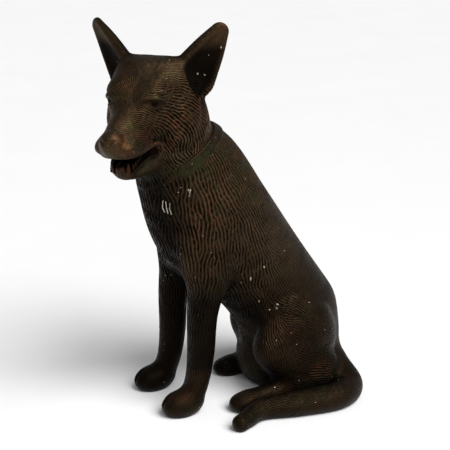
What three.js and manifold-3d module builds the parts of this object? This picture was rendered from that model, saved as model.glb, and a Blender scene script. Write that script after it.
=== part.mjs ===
// Seated shepherd dog, hollow-cast bronze garden statue.
// Millimetres, +Z up. The dog faces -Y with its head turned to its own left (+X).
// The form is one smooth implicit body made of tapered bones and ellipsoids; each casting is that
// body, hollowed and cut along its weld seam.
import * as THREE from 'three';
import Module from 'manifold-3d';

const wasm = await Module();
wasm.setup();

// Driving dimensions
const WALL = 5;
const SEAM = 0.3;
const TAIL_GAP = 0.6;
const SOLE = 8;

// Seams between castings
const COLLAR_CENTRE = new THREE.Vector3(0, -121, 504.5);
const COLLAR_TILT = THREE.MathUtils.degToRad(34);
const COLLAR_WIDTH = 24;
const COLLAR_RAISE = 3.5;
const COLLAR_END = 26;
const FLANK_CENTRE = new THREE.Vector3(0, 16, 250);
const FLANK_TILT = THREE.MathUtils.degToRad(-110);
const ELBOW_CUT = { lo: [20, -260, 0], hi: [200, -65, 212] };
const HAUNCH_CUT = { lo: [58, -50, 54], hi: [150, 190, 216] };
const FOOT_CUT = { lo: [30, -64.5, 0], hi: [136, 150, 54] };
const TAIL_CUT = { lo: [100, -130, 0], hi: [240, 260, 130] };
const JAW_CUT = { lo: [-47, -250, -136], hi: [47, -60, -84] };
const EAR_CUT = { lo: [-80, -60, 15], hi: [80, 60, 180] };

// Stations of a limb: x, y, z, radius, and the width of its section against its depth.
const TORSO = [
  [0, -138, 554, 67, 0.94],
  [0, -126, 504, 81, 0.87],
  [0, -95, 455, 108, 0.74],
  [0, -48, 360, 122, 0.735],
  [0, 45, 254, 103, 0.8],
  [0, 121, 145, 103, 0.866],
];
const FORELEG = [
  [66, -86, 290, 40, 1],
  [65, -102, 205, 30.5, 1],
  [64, -106, 125, 27, 1],
  [64, -113, 72, 24.5, 1],
  [65, -126, 32, 23.5, 1],
];
const TAIL = [
  [30, 180, 66, 38, 1],
  [88, 184, 44, 31, 1],
  [141, 186, 24, 27, 1],
  [174, 139, 23, 27, 1],
  [168, 56, 22, 25, 1],
  [153, -18, 19, 21, 1],
  [170, -60, 15, 17.5, 1],
  [178, -77, 14, 17, 1],
];
const LEFT = { side: 1, fore: -2, hind: -8, hip: 92, toe: 104 };
const RIGHT = { side: -1, fore: -8, hind: 34, hip: 80, toe: 63 };

// Head frame
const HEAD = new THREE.Vector3(15, -177, 614);
const HEAD_TURN = new THREE.Euler(
  THREE.MathUtils.degToRad(2),
  THREE.MathUtils.degToRad(-1),
  THREE.MathUtils.degToRad(40),
  'ZXY',
);

// ---- implicit building blocks -------------------------------------------------------------

function blend(a, b, k) {
  const h = Math.max(k - Math.abs(a - b), 0) / k;
  return Math.min(a, b) - (h * h * k) / 4;
}

// Ellipsoid; `tip` turns it about X.
function ball(c, r, tip = 0) {
  const cos = Math.cos(tip);
  const sin = Math.sin(tip);
  return (p) => {
    const x = p.x - c[0];
    const dy = p.y - c[1];
    const dz = p.z - c[2];
    const y = cos * dy + sin * dz;
    const z = cos * dz - sin * dy;
    const k0 = Math.hypot(x / r[0], y / r[1], z / r[2]);
    const k1 = Math.hypot(x / r[0] ** 2, y / r[1] ** 2, z / r[2] ** 2);
    return k1 > 1e-9 ? (k0 * (k0 - 1)) / k1 : -Math.min(...r);
  };
}

// Tapered capsule from a to b, its section squeezed along `across`.
function bone(a, b, across) {
  const d = [b[0] - a[0], b[1] - a[1], b[2] - a[2]];
  const length2 = d[0] ** 2 + d[1] ** 2 + d[2] ** 2;
  return (p) => {
    let x = p.x - a[0];
    let y = p.y - a[1];
    let z = p.z - a[2];
    const t = THREE.MathUtils.clamp((x * d[0] + y * d[1] + z * d[2]) / length2, 0, 1);
    x -= t * d[0];
    y -= t * d[1];
    z -= t * d[2];
    const wide = a[4] + (b[4] - a[4]) * t;
    const along = (x * across.x + y * across.y + z * across.z) * (1 / wide - 1);
    x += along * across.x;
    y += along * across.y;
    z += along * across.z;
    return (Math.hypot(x, y, z) - (a[3] + (b[3] - a[3]) * t)) * Math.min(1, wide);
  };
}

// A smooth chain of bones through the given stations.
function limb(stations, steps = 4, across = new THREE.Vector3(1, 0, 0)) {
  const path = stations.map((s) => new THREE.Vector3(s[0], s[1], s[2]));
  const size = stations.map((s) => new THREE.Vector3(s[3], s[4], 0));
  const line = new THREE.CatmullRomCurve3(path, false, 'catmullrom', 0.5);
  const girth = new THREE.CatmullRomCurve3(size, false, 'catmullrom', 0.5);
  const count = (stations.length - 1) * steps;
  const points = [];
  for (let i = 0; i <= count; i += 1) {
    const c = line.getPoint(i / count);
    const g = girth.getPoint(i / count);
    points.push([c.x, c.y, c.z, g.x, g.y]);
  }
  const bones = points.slice(1).map((point, i) => bone(points[i], point, across));
  return (p) => bones.reduce((least, f) => Math.min(least, f(p)), Infinity);
}

function union(k, ...fields) {
  return (p) => fields.map((f) => f(p)).reduce((a, b) => blend(a, b, k));
}

function mirrored(stations, side, dy = 0) {
  return stations.map(([x, y, z, ...rest]) => [x * side, y + dy, z, ...rest]);
}

// ---- anatomy ------------------------------------------------------------------------------

function torsoField() {
  const spine = limb(TORSO);
  const pelvis = ball([0, 126, 80], [96, 98, 84]);
  const seat = ball([0, 82, 48], [76, 70, 60]);
  return union(36, spine, pelvis, seat);
}

function forelegField({ side, fore }) {
  const shoulder = ball([58 * side, -87, 325], [36, 58, 84]);
  const leg = limb(mirrored(FORELEG, side, fore));
  const paw = ball([66 * side, -150 + fore, 20], [29.5, 40, 28]);
  return (p) => blend(blend(shoulder(p), leg(p), 24), paw(p), 16);
}

function hindlegField({ side, hind, hip, toe }) {
  const x = hip * side;
  const toeX = toe * side;
  const tip = THREE.MathUtils.degToRad(-20);
  const thigh = ball([0.9 * x, 99 + 0.3 * hind, 122], [46, 84, 84], tip);
  const hock = [1.05 * x, 100 + 0.5 * hind, 38, 28, 1];
  const shank = limb([[x, 44 + hind, 110, 38, 1], hock], 1);
  const heel = [1.05 * x, 108 + 0.5 * hind, 26, 26, 1];
  const foot = limb([heel, [toeX, -10 + hind, 17, 20, 1]], 1);
  const toes = ball([toeX, -22 + hind, 15], [27, 34, 20]);
  const rump = ball([1.07 * x, 142, 42], [37, 46, 46]);
  const leg = (p) => blend(blend(blend(thigh(p), shank(p), 28), foot(p), 20), toes(p), 12);
  return (p) => blend(leg(p), rump(p), 20);
}

function skullField() {
  const parts = [
    ball([0, 14, 10], [84, 84, 70]),
    ball([36, 8, 42], [38, 40, 36]),
    ball([-36, 8, 42], [38, 40, 36]),
    ball([49, 12, -36], [47, 60, 58]),
    ball([-49, 12, -36], [47, 60, 58]),
    ball([33, -60, 16], [22, 28, 18]),
    ball([-33, -60, 16], [22, 28, 18]),
    ball([36, -44, 30], [24, 32, 24]),
    ball([-36, -44, 30], [24, 32, 24]),
  ];
  const dome = union(20, ...parts);
  const muzzle = limb([[0, -62, -25, 51, 0.92], [0, -147, -44, 25, 0.92]], 1);
  const lips = union(8, ball([25, -112, -52], [21, 50, 20]), ball([-25, -112, -52], [21, 50, 20]));
  const nose = ball([0, -158, -40], [20, 17, 20]);
  return (p) => blend(blend(blend(dome(p), muzzle(p), 24), lips(p), 12), nose(p), 8);
}

function jawField() {
  return limb([[0, -20, -80, 48, 1], [0, -84, -93, 32, 1], [0, -115, -99, 18, 1]], 2);
}

// Ear: a flattened cone, hollowed from the front so a thick rim is left.
function earField(side) {
  const front = new THREE.Vector3(0.4 * side, -0.91, 0).normalize();
  const out = new THREE.Vector3(0.91 * side, 0.4, 0).normalize();
  const hollow = (s, f, o, r) => {
    return [s[0] + front.x * f + out.x * o, s[1] + front.y * f + out.y * o, s[2], r, 0.5];
  };
  const base = [71 * side, 22, 44, 43, 0.38];
  const mid = [102 * side, 28.5, 92, 29.3, 0.42];
  const tip = [125 * side, 31.5, 127, 16.5, 0.42];
  const blade = limb([base, mid, tip], 3, front);
  const inner = [hollow(base, 14, 6, 31), hollow(mid, 12, 5.5, 18.5), hollow(tip, 9, 2, 6)];
  const scoop = limb(inner, 3, front);
  return (p) => Math.max(blade(p), -scoop(p));
}

function headField() {
  const toHead = new THREE.Matrix4().makeRotationFromEuler(HEAD_TURN).setPosition(HEAD).invert();
  const skull = skullField();
  const jaw = jawField();
  const left = earField(1);
  const right = earField(-1);
  const q = new THREE.Vector3();
  return (p) => {
    q.copy(p).applyMatrix4(toHead);
    const face = blend(skull(q), jaw(q), 7);
    return blend(face, Math.min(left(q), right(q)), 10);
  };
}

function dogField() {
  const torso = torsoField();
  const forelegs = [forelegField(LEFT), forelegField(RIGHT)];
  const hindlegs = [hindlegField(LEFT), hindlegField(RIGHT)];
  const head = headField();
  const root = limb(TAIL.slice(0, 2));
  return (p) => {
    let d = torso(p);
    d = blend(d, Math.min(forelegs[0](p), forelegs[1](p)), 20);
    d = blend(d, Math.min(hindlegs[0](p), hindlegs[1](p)), 20);
    d = blend(d, head(p), 34);
    return blend(d, root(p), 12);
  };
}

// ---- surface of a field (dual grid, one vertex per crossed cell) --------------------------

const CORNERS = [0, 1, 2, 3, 4, 5, 6, 7].map((i) => [(i >> 2) & 1, (i >> 1) & 1, i & 1]);
const EDGES = [1, 2, 4].flatMap((bit) => {
  return [0, 1, 2, 3, 4, 5, 6, 7].filter((i) => !(i & bit)).map((i) => [i, i | bit]);
});

// True when the marked corners of a cube hang together along its edges.
function connected(mask) {
  let reached = mask & -mask;
  for (let pass = 0; pass < 4; pass += 1) {
    for (const [a, b] of EDGES) {
      const link = (1 << a) | (1 << b);
      if ((mask & link) === link && (reached & link) !== 0) {
        reached |= link;
      }
    }
  }
  return reached === mask;
}

// Faces of the cube as rings of four corners.
const FACES = [[1, 2, 4], [2, 4, 1], [4, 1, 2]].flatMap(([u, v, w]) => {
  return [0, w].map((base) => [base, base | u, base | u | v, base | v]);
});

// True when no face of the cube has its marked corners on one diagonal only.
function undivided(mask) {
  return FACES.every((ring) => {
    const [a, b, c, d] = ring.map((bit) => (mask >> bit) & 1);
    return a !== c || b !== d || a === b;
  });
}

const SIMPLE = Array.from({ length: 256 }, (_, mask) => {
  return connected(mask) && connected(255 - mask) && undivided(mask);
});

// Opens every cell that two sheets of the surface would share, so the skin stays manifold.
function separateSheets(value, n, at, cell) {
  const offsets = CORNERS.map((c) => at(c[0], c[1], c[2]));
  let changed = true;
  while (changed) {
    changed = false;
    for (let i = 0; i < n[0] - 1; i += 1) {
      for (let j = 0; j < n[1] - 1; j += 1) {
        for (let k = 0; k < n[2] - 1; k += 1) {
          const corners = offsets.map((o) => at(i, j, k) + o);
          const mask = corners.reduce((m, c, bit) => m | (value[c] < 0 ? 1 << bit : 0), 0);
          if (!SIMPLE[mask]) {
            const inner = corners.filter((c) => value[c] < 0);
            const weakest = inner.reduce((a, b) => (value[b] > value[a] ? b : a));
            value[weakest] = 0.05 * cell;
            changed = true;
          }
        }
      }
    }
  }
}

function skin(field, lo, hi, cell) {
  const n = lo.map((v, i) => Math.ceil((hi[i] - v) / cell) + 1);
  const at = (i, j, k) => (i * n[1] + j) * n[2] + k;
  const value = new Float64Array(n[0] * n[1] * n[2]);
  const p = new THREE.Vector3();
  for (let i = 0; i < n[0]; i += 1) {
    for (let j = 0; j < n[1]; j += 1) {
      for (let k = 0; k < n[2]; k += 1) {
        const rim = [i, j, k].some((v, a) => v === 0 || v === n[a] - 1);
        p.set(lo[0] + i * cell, lo[1] + j * cell, lo[2] + k * cell);
        value[at(i, j, k)] = rim ? cell : field(p);
      }
    }
  }
  separateSheets(value, n, at, cell);
  const positions = [];
  const vertex = new Map();
  for (let i = 0; i < n[0] - 1; i += 1) {
    for (let j = 0; j < n[1] - 1; j += 1) {
      for (let k = 0; k < n[2] - 1; k += 1) {
        const f = CORNERS.map((c) => value[at(i + c[0], j + c[1], k + c[2])]);
        const crossed = EDGES.filter(([a, b]) => f[a] < 0 !== f[b] < 0);
        if (crossed.length > 0) {
          const sum = [0, 0, 0];
          for (const [a, b] of crossed) {
            const t = f[a] / (f[a] - f[b]);
            sum.forEach((s, m) => {
              sum[m] = s + CORNERS[a][m] + t * (CORNERS[b][m] - CORNERS[a][m]);
            });
          }
          vertex.set(at(i, j, k), positions.length / 3);
          [i, j, k].forEach((v, m) => positions.push(lo[m] + cell * (v + sum[m] / crossed.length)));
        }
      }
    }
  }
  const index = [];
  const step = [at(1, 0, 0), at(0, 1, 0), at(0, 0, 1)];
  for (let i = 0; i < n[0] - 1; i += 1) {
    for (let j = 0; j < n[1] - 1; j += 1) {
      for (let k = 0; k < n[2] - 1; k += 1) {
        const here = at(i, j, k);
        for (let axis = 0; axis < 3; axis += 1) {
          const u = step[(axis + 1) % 3];
          const v = step[(axis + 2) % 3];
          const inside = value[here] < 0;
          if (inside !== value[here + step[axis]] < 0) {
            const q = [here - u - v, here - v, here, here - u].map((c) => vertex.get(c));
            const [a, b, c, d] = inside ? q : q.reverse();
            index.push(a, b, c, a, c, d);
          }
        }
      }
    }
  }
  const geometry = new THREE.BufferGeometry();
  geometry.setAttribute('position', new THREE.Float32BufferAttribute(positions, 3));
  geometry.setIndex(index);
  return geometry;
}

// ---- solids -------------------------------------------------------------------------------

function weld(geometry) {
  const source = geometry.index ? geometry.toNonIndexed() : geometry;
  const position = source.getAttribute('position');
  const seen = new Map();
  const vertProperties = [];
  const triVerts = [];
  for (let i = 0; i < position.count; i += 1) {
    const xyz = [position.getX(i), position.getY(i), position.getZ(i)];
    const key = xyz.map((v) => Math.round(v * 1e4)).join(' ');
    if (!seen.has(key)) {
      seen.set(key, vertProperties.length / 3);
      vertProperties.push(...xyz);
    }
    triVerts.push(seen.get(key));
  }
  return {
    numProp: 3,
    vertProperties: new Float32Array(vertProperties),
    triVerts: new Uint32Array(triVerts),
  };
}

function solid(geometry) {
  return new wasm.Manifold(new wasm.Mesh(weld(geometry)));
}

function shapeOf(body) {
  const mesh = body.getMesh();
  const geometry = new THREE.BufferGeometry();
  geometry.setAttribute('position', new THREE.BufferAttribute(mesh.vertProperties, 3));
  geometry.setIndex(new THREE.BufferAttribute(mesh.triVerts, 1));
  const flat = geometry.toNonIndexed();
  flat.computeVertexNormals();
  return flat;
}

// Box between two corners, mirrored to the given side, grown all round, then placed.
function block({ lo, hi }, side = 1, grow = 0, place = new THREE.Matrix4()) {
  const size = lo.map((v, i) => hi[i] - v + 2 * grow);
  const centre = lo.map((v, i) => (hi[i] + v) / 2);
  const box = new THREE.BoxGeometry(...size);
  box.translate(centre[0] * side, centre[1], centre[2]);
  return solid(box.applyMatrix4(place));
}

// Everything on the +Z side of a plane through `centre`, tilted about X, from `near` outward.
function beyond(centre, tilt, near, far = 900) {
  const place = new THREE.Matrix4().makeRotationX(tilt).setPosition(centre);
  return block({ lo: [-450, -450, near], hi: [450, 450, far] }, 1, 0, place);
}

function headFrame() {
  return new THREE.Matrix4().makeRotationFromEuler(HEAD_TURN).setPosition(HEAD);
}

// Ear frame: origin in the root of the ear, +Z toward its tip.
function earFrame(side) {
  const root = new THREE.Vector3(72 * side, 22, 44);
  const axis = new THREE.Vector3(52 * side, 9, 82).normalize();
  const turn = new THREE.Quaternion().setFromUnitVectors(new THREE.Vector3(0, 0, 1), axis);
  const local = new THREE.Matrix4().makeRotationFromQuaternion(turn).setPosition(root);
  return headFrame().multiply(local);
}

// ---- castings -----------------------------------------------------------------------------

const dog = dogField();
const core = (p) => Math.max(dog(p) + WALL, SOLE - p.z);

function hollow(lo, hi, cell, coreCell) {
  return solid(skin(dog, lo, hi, cell)).subtract(solid(skin(core, lo, hi, coreCell)));
}

function torsoFront() {
  const shell = hollow([-170, -300, 100], [170, 160, 640], 23, 30);
  const neck = beyond(COLLAR_CENTRE, COLLAR_TILT, COLLAR_WIDTH / 2).add(bandRoom(SEAM));
  const rear = beyond(FLANK_CENTRE, FLANK_TILT, 0);
  let body = shell.subtract(neck).subtract(rear);
  for (const side of [1, -1]) {
    body = body.subtract(block(ELBOW_CUT, side, SEAM)).subtract(block(HAUNCH_CUT, side, SEAM));
  }
  return body;
}

function torsoRear() {
  const shell = hollow([-170, -150, -40], [170, 300, 480], 23, 30);
  const rear = beyond(FLANK_CENTRE, FLANK_TILT, SEAM);
  const ground = block({ lo: [-300, -300, 0], hi: [300, 400, 700] });
  let body = shell.intersect(rear).intersect(ground).subtract(tail(TAIL_GAP));
  for (const side of [1, -1]) {
    body = body.subtract(block(HAUNCH_CUT, side, SEAM)).subtract(block(FOOT_CUT, side, SEAM));
  }
  return body;
}

function foreleg({ side }) {
  const lo = [side > 0 ? 0 : -140, -250, -30];
  const hi = [side > 0 ? 140 : 0, -10, 270];
  const bore = (p) => Math.max(core(p), 62 - p.z);
  const shell = solid(skin(dog, lo, hi, 14)).subtract(solid(skin(bore, lo, hi, 18)));
  return shell.intersect(block(ELBOW_CUT, side));
}

function haunch({ side }) {
  const lo = [side > 0 ? 20 : -180, -90, 20];
  const hi = [side > 0 ? 180 : -20, 230, 260];
  return hollow(lo, hi, 18, 24).intersect(block(HAUNCH_CUT, side)).subtract(tail(TAIL_GAP));
}

function hindFoot({ side }) {
  const lo = [side > 0 ? 30 : -160, -120, -30];
  const hi = [side > 0 ? 160 : -30, 190, 90];
  return solid(skin(dog, lo, hi, 13)).intersect(block(FOOT_CUT, side)).subtract(tail(TAIL_GAP));
}

// The free tail, or with `grow` the room it needs.
function tail(grow = 0) {
  const form = limb(TAIL);
  const whole = solid(skin((p) => form(p) - grow, [-20, -120, -30], [230, 250, 120], 13));
  return whole.intersect(block(TAIL_CUT, 1, grow));
}

// The slab of space the collar lies in. It is open at the throat, with a round end on each side.
function bandRoom(grow = 0) {
  const place = new THREE.Matrix4().makeRotationX(COLLAR_TILT).setPosition(COLLAR_CENTRE);
  const half = COLLAR_WIDTH / 2 + grow;
  const slab = block({ lo: [-300, -COLLAR_END, -half], hi: [300, 300, half] }, 1, 0, place);
  const end = new THREE.CylinderGeometry(half, half, 600, 24);
  end.rotateZ(Math.PI / 2).translate(0, -COLLAR_END, 0).applyMatrix4(place);
  return slab.add(solid(end));
}

function collar() {
  const lo = [-150, -300, 380];
  const hi = [150, 40, 660];
  const outer = solid(skin((p) => dog(p) - COLLAR_RAISE, lo, hi, 14));
  const inner = solid(skin((p) => dog(p) + WALL, lo, hi, 20));
  return outer.subtract(inner).intersect(bandRoom());
}

function head() {
  const shell = hollow([-140, -400, 400], [260, 20, 740], 13, 22);
  let body = shell.intersect(beyond(COLLAR_CENTRE, COLLAR_TILT, COLLAR_WIDTH / 2 + SEAM));
  body = body.subtract(block(JAW_CUT, 1, SEAM, headFrame()));
  for (const side of [1, -1]) {
    body = body.subtract(block(EAR_CUT, 1, SEAM, earFrame(side)));
  }
  return body;
}

function lowerJaw() {
  const flesh = solid(skin(dog, [-40, -360, 430], [180, -180, 600], 9));
  return flesh.intersect(block(JAW_CUT, 1, 0, headFrame()));
}

function ear(side) {
  const tip = new THREE.Vector3(100 * side, 26, 90).applyMatrix4(headFrame());
  const lo = tip.toArray().map((v) => v - 90);
  const hi = tip.toArray().map((v) => v + 90);
  return solid(skin(dog, lo, hi, 8)).intersect(block(EAR_CUT, 1, 0, earFrame(side)));
}

// ---- materials and assembly ---------------------------------------------------------------

function patina(color, roughness) {
  return new THREE.MeshStandardMaterial({ color, metalness: 0.85, roughness });
}

// Puts the origin under the middle of the statue's box.
function centre(group) {
  const middle = new THREE.Box3().setFromObject(group).getCenter(new THREE.Vector3());
  for (const mesh of group.children) {
    mesh.geometry.translate(-middle.x, -middle.y, 0);
  }
}

function build() {
  const group = new THREE.Group();
  group.name = 'seated_dog';
  const add = (name, body, color, roughness = 0.5) => {
    const mesh = new THREE.Mesh(shapeOf(body), patina(color, roughness));
    mesh.name = name;
    group.add(mesh);
  };
  add('torso_front', torsoFront(), 0x3b3026);
  add('torso_rear', torsoRear(), 0x392f25);
  add('head', head(), 0x40352a);
  add('lower_jaw', lowerJaw(), 0x3a3026);
  add('ear_left', ear(1), 0x3c3127);
  add('ear_right', ear(-1), 0x3c3127);
  add('collar', collar(), 0x45453a, 0.45);
  add('foreleg_left', foreleg(LEFT), 0x42372b);
  add('foreleg_right', foreleg(RIGHT), 0x3a3026);
  add('haunch_left', haunch(LEFT), 0x3c3127);
  add('haunch_right', haunch(RIGHT), 0x3a3026);
  add('hind_foot_left', hindFoot(LEFT), 0x43382c);
  add('hind_foot_right', hindFoot(RIGHT), 0x3a3026);
  add('tail', tail(), 0x463a2e);
  centre(group);
  return group;
}

export default build();
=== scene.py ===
import math
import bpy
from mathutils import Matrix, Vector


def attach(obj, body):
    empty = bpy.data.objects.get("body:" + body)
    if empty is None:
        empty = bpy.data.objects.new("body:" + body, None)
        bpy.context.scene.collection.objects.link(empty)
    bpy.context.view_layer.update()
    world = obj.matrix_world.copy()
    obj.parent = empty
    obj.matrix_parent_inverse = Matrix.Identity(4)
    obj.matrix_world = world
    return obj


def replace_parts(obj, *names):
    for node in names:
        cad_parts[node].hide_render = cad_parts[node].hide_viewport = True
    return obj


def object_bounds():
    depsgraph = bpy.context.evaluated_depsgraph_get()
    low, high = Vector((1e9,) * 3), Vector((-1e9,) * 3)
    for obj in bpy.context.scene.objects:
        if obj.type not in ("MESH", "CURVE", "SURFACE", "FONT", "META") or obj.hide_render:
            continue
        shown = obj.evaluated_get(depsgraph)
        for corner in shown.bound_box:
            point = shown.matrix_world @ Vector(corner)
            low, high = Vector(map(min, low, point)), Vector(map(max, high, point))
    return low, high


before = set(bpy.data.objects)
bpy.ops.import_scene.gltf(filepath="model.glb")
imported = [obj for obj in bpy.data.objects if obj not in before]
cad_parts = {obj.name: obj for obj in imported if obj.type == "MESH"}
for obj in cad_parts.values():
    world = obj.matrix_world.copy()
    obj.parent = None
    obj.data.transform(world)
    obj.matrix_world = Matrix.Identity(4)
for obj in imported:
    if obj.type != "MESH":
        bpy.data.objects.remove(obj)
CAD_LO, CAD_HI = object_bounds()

from concurrent.futures import ThreadPoolExecutor
from itertools import combinations, product

import bpy
import numpy as np
from mathutils import Vector, kdtree

# A seated dog cast in bronze. Its form is a field of rounded solids, in millimetres, in the
# sculptor's frame: +Z up, the body facing -Y, the head turned to its left. Positions on the head
# are in the head's own frame. The surface is drawn off that field, its coat is engraved along
# hair laid by comb strokes, and it is parted along the lines of the CAD castings.

TORSO = [(0, -138, 554, 67, .94), (0, -126, 504, 81, .87), (0, -95, 455, 108, .74),
         (0, -48, 360, 122, .735), (0, 45, 254, 103, .8), (0, 121, 145, 103, .866)]
FORELEG = [(66, -86, 290, 40, 1), (65, -102, 205, 30.5, 1), (64, -106, 125, 27, 1),
           (64, -113, 72, 24.5, 1), (65, -126, 32, 23.5, 1)]
TAIL = [(30, 180, 66, 38, 1), (88, 184, 44, 31, 1), (141, 186, 24, 27, 1), (174, 139, 23, 27, 1),
        (168, 56, 22, 25, 1), (153, -18, 19, 21, 1), (170, -60, 15, 17.5, 1), (178, -77, 14, 17, 1)]
LEFT = dict(side=1, fore=-2, hind=-8, hip=92, toe=104)
RIGHT = dict(side=-1, fore=-8, hind=34, hip=80, toe=63)
HEAD = np.array([15, -177, 614])
COLLAR_AT, COLLAR_N = np.array([0, -121, 504.5]), np.array([0, -.559, .829])
COLLAR_DOWN = np.array([0, -.829, -.559])
COLLAR_HALF, COLLAR_RISE, COLLAR_END = 12, 3.2, 26
FLANK_AT, FLANK_N = np.array([0, 16, 250]), np.array([0, .94, -.342])
# a fold of skin on the left haunch
FOLD = [(80, 39, 202, 2.4), (99, 61, 191.5, 4.2), (112, 81, 184, 4.2), (120, 100, 171, 2.4)]
FAR = 90  # stands for any distance too long to matter
PROBE = .5  # how far off a slope of the field is taken
LAP = 5  # how far head and body run on past the seam under the collar
BLEND_LEG, BLEND_HEAD, BLEND_TAIL = 20, 34, 12
INSET = .4  # the visual shape keeps this far inside the CAD box
CAP_DEPTH = 3  # how far under the surface a casting's open edge is turned in
F32 = np.float32


def turn(axis, degrees):
    c, s = math.cos(math.radians(degrees)), math.sin(math.radians(degrees))
    return np.array({"x": [[1, 0, 0], [0, c, -s], [0, s, c]], "y": [[c, 0, s], [0, 1, 0], [-s, 0, c]],
                     "z": [[c, -s, 0], [s, c, 0], [0, 0, 1]]}[axis])


HEAD_TURN = turn("z", 40) @ turn("x", 2) @ turn("y", -1)


def on_head(p):
    return ((p - HEAD) @ HEAD_TURN).astype(F32)


def from_head(q):
    return np.asarray(q, float) @ HEAD_TURN.T + HEAD


# ---------------------------------------------------------------- solids
def out_of_reach(p, lo, hi, size):
    """True where a solid is too far from all of p to be felt there."""
    reach = 45 if size > 12 else 16
    return (p.max(0) < lo - reach).any() or (p.min(0) > hi + reach).any()


def ball(p, centre, radii, tip=0):
    size = np.max(radii)
    if out_of_reach(p, np.array(centre) - size, np.array(centre) + size, size):
        return np.full(len(p), FAR, F32)
    q = p - np.array(centre, F32)
    if tip:
        q = q @ turn("x", tip).astype(F32)
    r = np.array(radii, F32) if np.ndim(radii) else np.full(3, radii, F32)
    near = np.sqrt(((q / r) ** 2).sum(1))
    return near * (near - 1) / np.maximum(np.sqrt(((q / (r * r)) ** 2).sum(1)), 1e-9)


def spline(stations, step):
    s = np.array(stations, float)
    if s.shape[1] == 4:
        s = np.hstack([s, np.ones((len(s), 1))])
    e = np.vstack([2 * s[0] - s[1], s, 2 * s[-1] - s[-2]])
    rows = []
    for i in range(len(s) - 1):
        p0, p1, p2, p3 = e[i:i + 4]
        count = max(3, int(np.linalg.norm((p2 - p1)[:3]) / step))
        t = (np.arange(count) / count)[:, None]
        v0, v1 = (p2 - p0) / 2, (p3 - p1) / 2
        cubic, square = 2 * p1 - 2 * p2 + v0 + v1, 3 * p2 - 3 * p1 - 2 * v0 - v1
        rows.append(cubic * t ** 3 + square * t * t + v0 * t + p1)
    return np.vstack(rows + [s[-1:]]).astype(F32)


def tube(p, stations, step=8, across=(1, 0, 0)):
    """Distance to a swept round of stations (x, y, z, radius[, width across])."""
    s = spline(stations, step)
    size = s[:, 3].max() * s[:, 4].max()
    if out_of_reach(p, s[:, :3].min(0) - size, s[:, :3].max(0) + size, size):
        return np.full(len(p), FAR, F32)
    squared = side = 0
    for i in range(3):
        e = p[:, i, None] - s[:, i]
        squared = squared + e * e
        if across[i]:
            side = side + F32(across[i]) * e
    if (s[:, 4] != 1).any():
        squared = squared + side * side * (1 / s[:, 4] ** 2 - 1)
    v = (np.sqrt(np.maximum(squared, 0)) - s[:, 3]) * np.minimum(1, s[:, 4])
    k = v.argmin(1).clip(1, len(s) - 2)
    i = np.arange(len(p))
    v0, v1, v2 = v[i, k - 1], v[i, k], v[i, k + 1]
    bend = np.maximum(v0 - 2 * v1 + v2, 1e-3)
    t = np.clip((v0 - v2) / (2 * bend), -1, 1)
    return v1 + t * (v2 - v0) / 2 + t * t * bend / 2


def blend(a, b, k):
    h = np.maximum(k - np.abs(a - b), 0) / k
    return np.minimum(a, b) - h * h * k / 4


def carve(a, b, k):
    return -blend(-a, b, k)


def union(k, *parts):
    d = parts[0]
    for e in parts[1:]:
        d = blend(d, e, k)
    return d


# ---------------------------------------------------------------- anatomy
def body(p):
    pelvis, seat_ball = ball(p, (0, 126, 80), (96, 98, 84)), ball(p, (0, 82, 48), (76, 70, 60))
    return union(36, tube(p, TORSO), pelvis, seat_ball)


def foreleg(p, side, fore, **_):
    stations = [(x * side, y + fore, z, r, w) for x, y, z, r, w in FORELEG]
    d = blend(ball(p, (58 * side, -87, 325), (36, 58, 84)), tube(p, stations), 24)
    d = blend(d, ball(p, (66 * side, -150 + fore, 20), (29.5, 40, 28)), 16)
    for x in (-13.5, 0, 13.5):
        cleft = [((66 + x) * side, -172 + fore, 45, 2), ((66 + x * 1.25) * side, -196 + fore, 16, 2.6)]
        d = carve(d, tube(p, cleft, 4), 5)
    return d


def hindleg(p, side, hind, hip, toe, **_):
    x, tx = hip * side, toe * side
    thigh = ball(p, (.9 * x, 99 + .3 * hind, 122), (46, 84, 84), -20)
    shank = tube(p, [(x, 44 + hind, 110, 38), (1.05 * x, 100 + .5 * hind, 38, 28)])
    foot = tube(p, [(1.05 * x, 108 + .5 * hind, 26, 26), (tx, -10 + hind, 17, 20)])
    toes = ball(p, (tx, -22 + hind, 15), (27, 34, 20))
    leg = blend(blend(blend(thigh, shank, 28), foot, 20), toes, 12)
    return blend(leg, ball(p, (1.07 * x, 142, 42), (37, 46, 46)), 20)


def both(q, centre, radii, k=8, tip=0):
    x, y, z = centre
    return blend(ball(q, centre, radii, tip), ball(q, (-x, y, z), radii, tip), k)


def mirrored(q):
    """The head is even-sided, so what it has twice is made once."""
    return np.column_stack([np.abs(q[:, 0]), q[:, 1], q[:, 2]])


def skull(q):
    dome = union(20, ball(q, (0, 14, 10), (84, 84, 70)), both(q, (36, 8, 42), (38, 40, 36)),
                 both(q, (49, 12, -36), (47, 60, 58)), both(q, (33, -60, 16), (22, 28, 18)),
                 both(q, (36, -44, 30), (24, 32, 24)))
    muzzle = tube(q, [(0, -62, -25, 51, .92), (0, -147, -44, 25, .92)])
    lips = both(q, (25, -112, -52), (21, 50, 20))
    nose = ball(q, (0, -158, -40), (20, 17, 20))
    return blend(blend(blend(dome, muzzle, 24), lips, 12), nose, 8)


def jaw(q):
    return tube(q, [(0, -20, -80, 48, 1), (0, -84, -92, 31, 1.2), (0, -115, -99, 18.5, 1.35)])


def seat(point, lift=0):
    """The point of the head's surface nearest to point, lifted off it, and the way out there."""
    q, tiny = np.array([point], float), np.eye(3) * PROBE
    for _ in range(12):
        here, *there = np.split(plain_head(np.vstack([q, q + tiny]).astype(F32)), [1, 2, 3])
        out = (np.array(there).ravel() - here[0]) / PROBE
        out /= np.linalg.norm(out)
        q = q - here[0] * out * .8
    return q[0] + out * lift, out


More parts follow.
